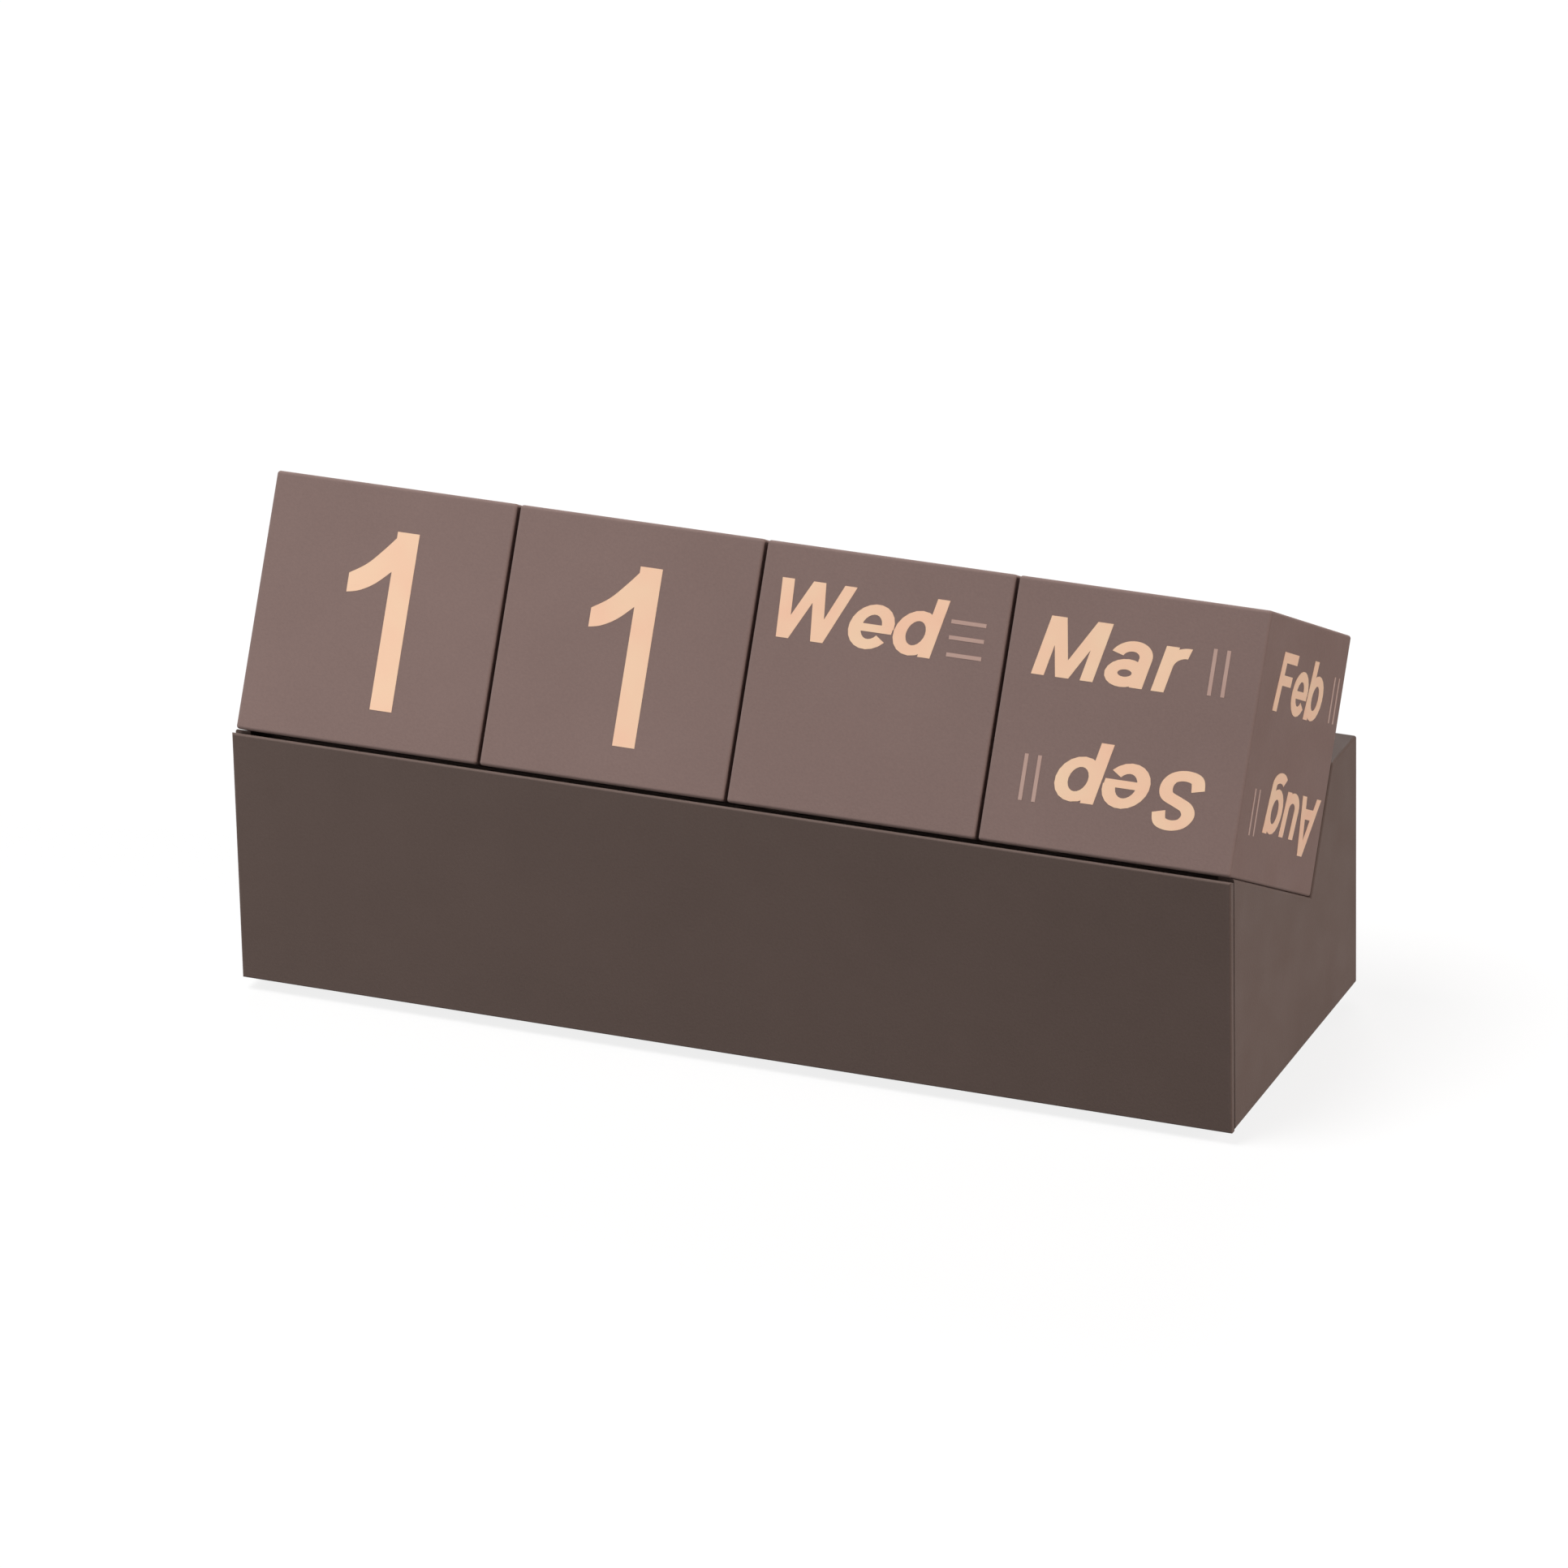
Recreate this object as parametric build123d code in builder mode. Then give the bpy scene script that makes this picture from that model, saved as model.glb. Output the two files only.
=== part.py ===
"""Perpetual desk calendar: four printed cubes lean back in a V trough on a long base with a drawer.

Frame: +X runs along the row of cubes, to the right as seen from the front. +Y points to the back and
+Z up. The origin is on the desk, under the middle of the base. All sizes are millimetres.
"""

from build123d import *
from math import cos, radians, sin, tan
import os

os.makedirs("parts", exist_ok=True)

# ---------------------------------------------------------------- driving dimensions
# Cubes
cube_side = 40.0
cube_gap = 0.5  # between neighbouring cubes
cube_edge_radius = 0.5
cube_wall = 2.0
cap_thickness = 2.0
cap_ledge = 0.9  # width of the step that the cap rests on
cap_clearance = 0.1  # around the cap and its lip
cap_lip_height = 3.0
cap_lip_wall = 1.2

# How the cubes lie in the base
lean_angle = 28.0  # the cubes' front faces lean back from upright by this much
row_rise = 0.7  # from the front's top edge up to the cubes' lower front edge
row_setback = 0.1  # from the front face back to the cubes' lower front edge
row_spare = 0.8  # the base is this much longer than the row
row_end_gap = 0.15  # from the row, pushed to the right, to the base's right end
seat_clearance = 0.06  # between the cubes and the trough's two faces

# Base
base_depth = 56.1
base_height = 41.5  # without the feet
foot_stand = 2.0  # the feet hold the base this far off the desk
end_wall = 2.5
back_wall = 2.5
trough_wall = 2.2
case_edge_radius = 0.4

# Bottom plate, its screws and its feet
plate_thickness = 3.0
plate_clearance = 0.2
runner_width = 3.0
runner_height = 0.6
runner_spacing = 90.0
runner_inset = 2.0  # from the plate's front and back edges
boss_radius = 3.0
boss_height = 12.0
boss_wall_gap = 1.2  # between a boss and the end wall, bridged by a web
boss_end_gap = 0.5  # between a boss and the wall in front of or behind it
boss_web = 2.0
plate_chamfer = 0.4
foot_radius = 4.0
foot_recess = 1.0
foot_clearance = 0.1
foot_inset_x = 20.0  # from the base's ends to the feet's centres
foot_inset_y = 10.0  # from the base's front and back to the feet's centres
foot_chamfer = 0.5

# Screws
screw_radius = 1.1
screw_hole_clearance = 0.02
screw_pass_clearance = 0.25
head_radius = 2.0
head_height = 1.3
head_clearance = 0.35
base_screw_length = 9.0
front_screw_length = 4.8
pilot_spare = 0.4  # a pilot hole is this much deeper than its screw reaches
cross_width = 0.6
cross_length = 2.2
cross_depth = 0.7

# Drawer
front_thickness = 4.0
front_lip = 1.2  # thickness of the outer part of the front, which covers the end walls' front edges
front_gap = 0.3  # between the drawer front and the case
front_edge_radius = 0.3
tray_wall = 1.8
tray_floor = 1.6
tray_side_gap = 0.7  # between the tray and the screw bosses that guide it
tray_back_gap = 0.7
tray_top_gap = 0.6  # under the trough
tray_run_gap = 0.2  # over the runners
tray_corner_radius = 2.0
rail_thickness = 2.0
rail_gap = 0.5  # over the tray's side walls
rail_overlap = 1.5  # how far a rail reaches in over the tray's side wall
stop_reach = 2.4  # how far a stop stands out of the tray's side
stop_thickness = 2.5
stop_height = 9.0
stop_boss_gap = 0.45
finger_hole_width = 24.0  # in the case's back wall, to push the drawer out from behind
finger_hole_height = 14.0
front_screw_inset = 21.0  # from the tray's ends to the outer two of three screws

# ---------------------------------------------------------------- levels and lines
lean = radians(lean_angle)
cube_names = ["left_digit_cube", "right_digit_cube", "weekday_cube", "month_cube"]
row_length = len(cube_names) * cube_side + (len(cube_names) - 1) * cube_gap
front_y = -base_depth / 2
back_y = base_depth / 2
bottom_z = foot_stand
top_z = foot_stand + base_height
half_length = (row_length + row_spare) / 2
row_left_x = half_length - row_end_gap - row_length
inner_half = half_length - end_wall
case_front_y = front_y + front_thickness + front_gap
end_front_y = front_y + front_lip + front_gap
inner_back_y = back_y - back_wall
plate_top_z = bottom_z + plate_thickness

# The cubes' lower front edge, before it is rounded, and the trough's inside corner below their back edge
row_edge_y = front_y + row_setback
row_edge_z = top_z + row_rise
trough_y = row_edge_y + cube_side * cos(lean) + seat_clearance * (cos(lean) - sin(lean))
trough_z = row_edge_z - cube_side * sin(lean) - seat_clearance * (cos(lean) + sin(lean))
# In this plane z = 0 is the seat and y = 0 is the back rest; the cubes lie at y < 0 and z > 0.
trough = Plane(origin=(0, trough_y, trough_z), x_dir=(1, 0, 0), z_dir=(0, sin(lean), cos(lean)))

under_corner_y = trough_y + trough_wall * (cos(lean) - sin(lean))
under_corner_z = trough_z - trough_wall * (cos(lean) + sin(lean))


def seat_height(y, corner_y, corner_z):
    """Height at y of the line that rises from a trough corner to the front, along the seat."""
    return corner_z + (corner_y - y) * tan(lean)


def front_top(y):
    """Height at y of the drawer front's top edge, which slopes with the cubes' undersides."""
    return top_z - (y - front_y) * tan(lean)


def rest_depth(z, corner_y, corner_z):
    """Depth at z of the line that rises from a trough corner to the back, along the back rest."""
    return corner_y + (z - corner_z) * tan(lean)


# Screw bosses stand in the four corners; the tray runs between them.
boss_x = inner_half - boss_wall_gap - boss_radius
boss_front_y = case_front_y + boss_end_gap + boss_radius
boss_back_y = inner_back_y - boss_end_gap - boss_radius
boss_places = {
    "front_left": (-boss_x, boss_front_y),
    "front_right": (boss_x, boss_front_y),
    "back_left": (-boss_x, boss_back_y),
    "back_right": (boss_x, boss_back_y),
}
screw_seat_z = bottom_z + head_height + head_clearance

foot_x = half_length - foot_inset_x
foot_y = base_depth / 2 - foot_inset_y

tray_half = boss_x - boss_radius - tray_side_gap
tray_front_y = front_y + front_thickness
tray_back_y = inner_back_y - tray_back_gap
tray_bottom_z = plate_top_z + runner_height + tray_run_gap
tray_top_z = under_corner_z - tray_top_gap
rail_z = tray_top_z + rail_gap
rail_reach = inner_half - tray_half + rail_overlap
stop_back_y = boss_back_y - boss_radius - stop_boss_gap
stop_front_y = stop_back_y - stop_thickness
finger_hole_z = (tray_bottom_z + tray_top_z) / 2
front_screw_z = (tray_bottom_z + tray_floor + tray_top_z) / 2


def finish(part, name):
    """Names a finished piece and writes it."""
    part.label = name
    export_step(part, f"parts/{name}.step")


# ---------------------------------------------------------------- case: trough, end walls and back
with BuildPart() as case_shell:
    with BuildSketch(Plane.YZ):
        with BuildLine():
            Polyline(
                (end_front_y, bottom_z),
                (end_front_y, seat_height(end_front_y, trough_y, trough_z)),
                (trough_y, trough_z),
                (rest_depth(top_z, trough_y, trough_z), top_z),
                (back_y, top_z),
                (back_y, bottom_z),
                close=True,
            )
        make_face()
    extrude(amount=half_length, both=True)

    # Round what a hand meets: the back's long edges and the outlines of both ends, but not the front,
    # which closes against the drawer, nor the trough's inside corner.
    long_edges = case_shell.edges().filter_by(Axis.X)
    end_edges = case_shell.edges().group_by(Axis.X)[0] + case_shell.edges().group_by(Axis.X)[-1]
    rounded = [edge for edge in long_edges if edge.center().Y > trough_y + cube_edge_radius]
    rounded += [edge for edge in end_edges if edge.center().Y > case_front_y + case_edge_radius]
    fillet(rounded, radius=case_edge_radius)

    # The hollow under the trough, open at the front for the drawer and at the bottom for the plate
    with BuildSketch(Plane.YZ):
        with BuildLine():
            open_y = front_y - base_depth
            open_z = bottom_z - base_height
            ledge_z = top_z - trough_wall
            Polyline(
                (open_y, open_z),
                (open_y, top_z + base_height),
                (case_front_y, top_z + base_height),
                (case_front_y, seat_height(case_front_y, under_corner_y, under_corner_z)),
                (under_corner_y, under_corner_z),
                (rest_depth(ledge_z, under_corner_y, under_corner_z), ledge_z),
                (inner_back_y, ledge_z),
                (inner_back_y, open_z),
                close=True,
            )
        make_face()
    extrude(amount=inner_half, both=True, mode=Mode.SUBTRACT)

    # Rails over the tray's side walls stop it from tipping when it is pulled out
    for side in (-1, 1):
        rail_start_y = boss_front_y + boss_radius
        with BuildSketch(Plane.XY.offset(rail_z)):
            with Locations((side * (inner_half - rail_reach / 2), (rail_start_y + inner_back_y) / 2)):
                Rectangle(rail_reach, inner_back_y - rail_start_y)
        extrude(amount=rail_thickness)

    # Screw bosses, each tied to its end wall by a web
    for x, y in boss_places.values():
        side = 1 if x > 0 else -1
        with BuildSketch(Plane.XY.offset(plate_top_z)):
            with Locations((x, y)):
                Circle(boss_radius)
            with Locations(((x + side * inner_half) / 2, y)):
                Rectangle(inner_half - boss_x, boss_web)
        extrude(amount=boss_height)
    pilot_top_z = screw_seat_z + base_screw_length + pilot_spare
    with BuildSketch(Plane.XY.offset(plate_top_z)):
        with Locations(*boss_places.values()):
            Circle(screw_radius + screw_hole_clearance)
    extrude(amount=pilot_top_z - plate_top_z, mode=Mode.SUBTRACT)

    # The finger hole in the back wall
    with BuildSketch(Plane.XZ.offset(-back_y)):
        with Locations((0, finger_hole_z)):
            SlotOverall(finger_hole_width, finger_hole_height)
    extrude(amount=back_wall, mode=Mode.SUBTRACT)
    hole_rim = case_shell.faces().sort_by(Axis.Y)[-1].inner_wires()[0].edges()
    fillet(hole_rim, radius=case_edge_radius)
finish(case_shell.part, "case_shell")

# ---------------------------------------------------------------- bottom plate
with BuildPart() as base_plate:
    plate_half = inner_half - plate_clearance
    plate_back_y = inner_back_y - plate_clearance
    plate_middle_y = (case_front_y + plate_back_y) / 2
    with BuildSketch(Plane.XY.offset(bottom_z)):
        with Locations((0, plate_middle_y)):
            Rectangle(2 * plate_half, plate_back_y - case_front_y)
    extrude(amount=plate_thickness)
    chamfer(base_plate.faces().sort_by(Axis.Z)[0].edges(), length=plate_chamfer)

    # Runners that the tray slides on
    with BuildSketch(Plane.XY.offset(plate_top_z)):
        with Locations((0, plate_middle_y)):
            with GridLocations(runner_spacing, 0, 2, 1):
                Rectangle(runner_width, plate_back_y - case_front_y - 2 * runner_inset)
    extrude(amount=runner_height)

    # Sunk screw holes and recesses for the feet
    with BuildSketch(Plane.XY.offset(bottom_z)):
        with Locations(*boss_places.values()):
            Circle(head_radius + head_clearance)
    extrude(amount=head_height + head_clearance, mode=Mode.SUBTRACT)
    with BuildSketch(Plane.XY.offset(bottom_z)):
        with Locations(*boss_places.values()):
            Circle(screw_radius + screw_pass_clearance)
    extrude(amount=plate_thickness, mode=Mode.SUBTRACT)
    with BuildSketch(Plane.XY.offset(bottom_z)):
        with GridLocations(2 * foot_x, 2 * foot_y, 2, 2):
            Circle(foot_radius + foot_clearance)
    extrude(amount=foot_recess, mode=Mode.SUBTRACT)
finish(base_plate.part, "base_plate")

# ---------------------------------------------------------------- rubber feet
foot_places = {
    "front_left": (-foot_x, -foot_y),
    "front_right": (foot_x, -foot_y),
    "back_left": (-foot_x, foot_y),
    "back_right": (foot_x, foot_y),
}
for corner, (x, y) in foot_places.items():
    with BuildPart() as foot:
        with BuildSketch():
            with Locations((x, y)):
                Circle(foot_radius)
        extrude(amount=foot_stand + foot_recess)
        chamfer(foot.edges().sort_by(Axis.Z)[0], length=foot_chamfer)
    finish(foot.part, f"foot_{corner}")


# ---------------------------------------------------------------- screws
def screw(seat, length):
    """A pan head screw. The seat plane's normal is the way that it is driven, and the head lies behind it."""
    with BuildPart() as made:
        with BuildSketch(seat.offset(-head_height)):
            Circle(head_radius)
        extrude(amount=head_height)
        fillet(made.faces().sort_by(Axis(seat.origin, seat.z_dir))[0].edges(), radius=head_height / 3)
        with BuildSketch(seat.offset(-head_height)):
            Rectangle(cross_length, cross_width)
            Rectangle(cross_width, cross_length)
        extrude(amount=cross_depth, mode=Mode.SUBTRACT)
        with BuildSketch(seat):
            Circle(screw_radius)
        extrude(amount=length)
        tip = made.faces().sort_by(Axis(seat.origin, seat.z_dir))[-1].edges()
        chamfer(tip, length=screw_radius / 2)
    return made.part


for corner, (x, y) in boss_places.items():
    base_seat = Plane(origin=(x, y, screw_seat_z), x_dir=(1, 0, 0), z_dir=(0, 0, 1))
    finish(screw(base_seat, base_screw_length), f"base_screw_{corner}")

front_screw_x = tray_half - front_screw_inset
front_screw_places = {"left": -front_screw_x, "middle": 0.0, "right": front_screw_x}
for place, x in front_screw_places.items():
    front_seat = Plane(
        origin=(x, tray_front_y + tray_wall, front_screw_z), x_dir=(1, 0, 0), z_dir=(0, -1, 0)
    )
    finish(screw(front_seat, front_screw_length), f"drawer_screw_{place}")

# ---------------------------------------------------------------- drawer front
with BuildPart() as drawer_front:
    # The lip covers the front edges of the end walls, and the thicker middle fits between the walls.
    # The cubes' undersides and the front's top edge have a shadow line between them.
    for reach, depth in ((half_length, front_lip), (inner_half - front_gap, front_thickness)):
        with BuildSketch(Plane.YZ):
            with BuildLine():
                Polyline(
                    (front_y, bottom_z),
                    (front_y, top_z),
                    (front_y + depth, front_top(front_y + depth)),
                    (front_y + depth, bottom_z),
                    close=True,
                )
            make_face()
        extrude(amount=reach, both=True)
    fillet(drawer_front.faces().sort_by(Axis.Y)[0].edges(), radius=front_edge_radius)
    pilot_depth = front_screw_length - tray_wall + pilot_spare
    with BuildSketch(Plane.XZ.offset(-tray_front_y)):
        with Locations(*[(x, front_screw_z) for x in front_screw_places.values()]):
            Circle(screw_radius + screw_hole_clearance)
    extrude(amount=pilot_depth, mode=Mode.SUBTRACT)
finish(drawer_front.part, "drawer_front")

# ---------------------------------------------------------------- drawer tray
with BuildPart() as drawer_tray:
    tray_middle_y = (tray_front_y + tray_back_y) / 2
    tray_length = tray_back_y - tray_front_y
    with BuildSketch(Plane.XY.offset(tray_bottom_z)):
        with Locations((0, tray_middle_y)):
            Rectangle(2 * tray_half, tray_length)
    extrude(amount=tray_top_z - tray_bottom_z)

    # The hollow, with rounded corners
    with BuildSketch(Plane.XY.offset(tray_bottom_z + tray_floor)):
        with Locations((0, tray_middle_y)):
            RectangleRounded(
                2 * (tray_half - tray_wall), tray_length - 2 * tray_wall, tray_corner_radius
            )
    extrude(amount=tray_top_z - tray_bottom_z, mode=Mode.SUBTRACT)

    # Stops that meet the front bosses when the drawer is fully out
    with BuildSketch(Plane.XY.offset(tray_bottom_z)):
        with Locations((0, (stop_front_y + stop_back_y) / 2)):
            with GridLocations(2 * tray_half + stop_reach, 0, 2, 1):
                Rectangle(stop_reach, stop_thickness)
    extrude(amount=stop_height)

    # Holes for the screws that hold the front
    with BuildSketch(Plane.XZ.offset(-tray_front_y)):
        with Locations(*[(x, front_screw_z) for x in front_screw_places.values()]):
            Circle(screw_radius + screw_pass_clearance)
    extrude(amount=-tray_wall, mode=Mode.SUBTRACT)
finish(drawer_tray.part, "drawer_tray")

# ---------------------------------------------------------------- cubes
cube_centre_y = -(seat_clearance + cube_side / 2)
cube_centre_z = seat_clearance + cube_side / 2
opening_half = cube_side / 2 - cube_wall
cap_half = opening_half + cap_ledge

for index, cube_name in enumerate(cube_names):
    cube_left_x = row_left_x + index * (cube_side + cube_gap)
    # Planes square to the row whose sketches are centred on the cube's side faces
    left_face = Plane(
        origin=trough.from_local_coords((cube_left_x, cube_centre_y, cube_centre_z)),
        x_dir=trough.y_dir,
        z_dir=(1, 0, 0),
    )

    # A five-sided moulding, open on the left, where a cap closes it
    with BuildPart() as cube_shell:
        with BuildSketch(left_face):
            Rectangle(cube_side, cube_side)
        extrude(amount=cube_side)
        fillet(cube_shell.edges(), radius=cube_edge_radius)
        with BuildSketch(left_face):
            Rectangle(2 * opening_half, 2 * opening_half)
        extrude(amount=cube_side - cube_wall, mode=Mode.SUBTRACT)
        with BuildSketch(left_face):
            Rectangle(2 * cap_half, 2 * cap_half)
        extrude(amount=cap_thickness, mode=Mode.SUBTRACT)
    finish(cube_shell.part, f"{cube_name}_shell")

    # The cap drops into the step, and a lip on its inner side centres it in the opening
    with BuildPart() as cube_cap:
        with BuildSketch(left_face):
            Rectangle(2 * (cap_half - cap_clearance), 2 * (cap_half - cap_clearance))
        extrude(amount=cap_thickness)
        lip_half = opening_half - cap_clearance
        with BuildSketch(left_face.offset(cap_thickness)):
            Rectangle(2 * lip_half, 2 * lip_half)
            Rectangle(2 * (lip_half - cap_lip_wall), 2 * (lip_half - cap_lip_wall), mode=Mode.SUBTRACT)
        extrude(amount=cap_lip_height)
    finish(cube_cap.part, f"{cube_name}_cap")
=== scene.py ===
"""Looks of the perpetual desk calendar: printed cubes, moulded finishes, studio light and the camera.

Lengths are metres in the model's frame: +X along the row of cubes, +Y to the back, +Z up, with the
origin on the desk under the middle of the base.
"""

from math import cos, pi, radians, sin, tan

import bpy
import numpy as np
from mathutils import Matrix, Vector
from mathutils.geometry import delaunay_2d_cdt


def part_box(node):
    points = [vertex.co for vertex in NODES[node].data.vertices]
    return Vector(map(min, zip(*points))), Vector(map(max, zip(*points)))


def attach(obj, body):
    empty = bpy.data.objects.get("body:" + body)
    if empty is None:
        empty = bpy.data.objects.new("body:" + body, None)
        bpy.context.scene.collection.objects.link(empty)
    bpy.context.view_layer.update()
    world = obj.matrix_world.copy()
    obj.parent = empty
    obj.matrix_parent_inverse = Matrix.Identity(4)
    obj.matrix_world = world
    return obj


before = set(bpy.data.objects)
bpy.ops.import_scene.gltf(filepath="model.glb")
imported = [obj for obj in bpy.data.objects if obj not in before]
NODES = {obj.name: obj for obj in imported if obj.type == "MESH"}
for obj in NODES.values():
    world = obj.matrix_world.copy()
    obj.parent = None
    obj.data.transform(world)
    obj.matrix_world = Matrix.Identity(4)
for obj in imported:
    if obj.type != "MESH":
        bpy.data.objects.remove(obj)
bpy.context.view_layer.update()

MM = 0.001

# ================================================================ sizes
CUBES = ("left_digit_cube", "right_digit_cube", "weekday_cube", "month_cube")
LEAN = radians(28.0)  # the cubes' front faces lean back from upright by this much
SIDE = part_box("month_cube_shell")[1].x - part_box("month_cube_shell")[0].x
FOOT_STAND = 2.0 * MM

PRINT_RISE = 0.04 * MM  # how far the print stands out of a face
PRINT_SINK = 0.02 * MM  # and how far it goes in

# Places on a face are measured from its left and lower edges, after it has been turned over if the print
# is upside down
DIGIT_HEIGHT = 27.4 * MM
DIGIT_BASE = 5.85 * MM  # a digit's foot
LEFT_DIGIT_MIDDLE = 19.75 * MM
RIGHT_DIGIT_MIDDLE = 19.3 * MM

WORD_HEIGHT = 9.0 * MM  # of a capital letter
WORD_BASE = 25.7 * MM  # a word's foot
TURNED_WORD_BASE = 25.4 * MM  # of a month that is upside down
WEEKDAY_STRETCH = 1.02  # a word's letters are a little wider than the glyphs' grid
MONTH_STRETCH = 1.05
WEEKDAY_LEFT = 1.3 * MM
MONTH_LEFT = 3.7 * MM
TURNED_MONTH_LEFT = 5.1 * MM
SIDE_MONTH_LEFT = 6.8 * MM  # the month cube's right face carries its months further to the right
SIDE_TURNED_MONTH_LEFT = 2.3 * MM
SLANT = tan(radians(12.0))  # of the words

RULE_WIDTH = 0.6 * MM  # the short rules beside a word
RULE_LEFT = 31.0 * MM  # level rules, beside a weekday
RULE_LENGTH = 5.6 * MM
RULE_ROWS = (26.4 * MM, 29.0 * MM, 31.4 * MM)
UPRIGHT_RULE_COLUMNS = (32.0 * MM, 34.1 * MM)  # upright rules, beside a month
SIDE_RULE_COLUMNS = (34.8 * MM, 36.9 * MM)  # beside the upright month on the right face
UPRIGHT_RULE_FOOT = 26.2 * MM
UPRIGHT_RULE_HEIGHT = 7.0 * MM


# ================================================================ letter strokes
# A glyph is made of strokes on a grid where a capital is 1 high. Upright strokes have the pen's full
# width and level ones are a little thinner.
class Pen:
    """Widths of upright and level strokes, as shares of a capital's height."""

    def __init__(self, upright, level):
        self.upright = upright
        self.level = level


WORD_PEN = Pen(upright=0.215, level=0.175)
DIGIT_PEN = Pen(upright=0.132, level=0.114)
X_HEIGHT = 0.77  # of the small letters
ARC_STEPS = 20
CURVE_STEPS = 6  # between two points of a smooth curve


def ribbon(path, along, pen):
    """Quads along a path: each point is moved to both sides, square to the path's direction there, by
    half the pen's width, which is the upright width across and the level width up and down."""
    along = along / np.linalg.norm(along, axis=1)[:, None]
    across = np.stack([-along[:, 1] * pen.upright, along[:, 0] * pen.level], axis=1) / 2
    left, right = path + across, path - across
    return np.stack([right[:-1], right[1:], left[1:], left[:-1]], axis=1)


def arc(pen, centre_x, centre_y, radius_x, radius_y, start, end):
    """Quads along an ellipse: centre plus (radius_x cos t, radius_y sin t), t from start to end degrees."""
    turn = np.radians(np.linspace(start, end, ARC_STEPS + 1))
    path = np.stack([centre_x + radius_x * np.cos(turn), centre_y + radius_y * np.sin(turn)], axis=1)
    along = np.stack([-radius_x * np.sin(turn), radius_y * np.cos(turn)], axis=1)
    return ribbon(path, along, pen)


def ring(pen, centre_x, centre_y, radius_x, radius_y):
    """A closed ellipse."""
    return arc(pen, centre_x, centre_y, radius_x, radius_y, 0, 360)


def smooth(points):
    """Points of a smooth curve through the given ones: between two of them it is the cubic whose slope at
    each is half the step between that point's neighbours."""
    knots = np.array([points[0], *points, points[-1]], float)
    before, start, end, after = knots[:-3], knots[1:-2], knots[2:-1], knots[3:]
    share = np.linspace(0, 1, CURVE_STEPS + 1)[:-1, None, None]
    bend = (
        2 * start
        + (end - before) * share
        + (2 * before - 5 * start + 4 * end - after) * share**2
        + (3 * start - before - 3 * end + after) * share**3
    ) / 2
    return np.concatenate([bend.transpose(1, 0, 2).reshape(-1, 2), knots[-1:]])


def swash(pen, *points):
    """Quads along a smooth curve through the points."""
    path = smooth(points)
    return ribbon(path, np.gradient(path, axis=0), pen)


def blade(lower, upper):
    """Quads between two smooth curves with the same number of points, both drawn from left to right."""
    low, high = smooth(lower), smooth(upper)
    return np.stack([low[:-1], low[1:], high[1:], high[:-1]], axis=1)


def stroke(pen, x0, y0, x1, y1, width=None):
    """One quad with level ends: a stem or a diagonal of the pen's upright width, or of its own width."""
    half = (width or pen.upright) / 2
    low, high = ((x0, y0), (x1, y1)) if y0 < y1 else ((x1, y1), (x0, y0))
    corners = [
        (low[0] - half, low[1]),
        (low[0] + half, low[1]),
        (high[0] + half, high[1]),
        (high[0] - half, high[1]),
    ]
    return np.array([corners])


def beam(pen, x0, x1, y, height=None):
    """One quad with upright ends: a level bar with its middle at y, of the pen's level width or of its
    own height."""
    half = (height or pen.level) / 2
    return np.array([[(x0, y - half), (x1, y - half), (x1, y + half), (x0, y + half)]])


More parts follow.
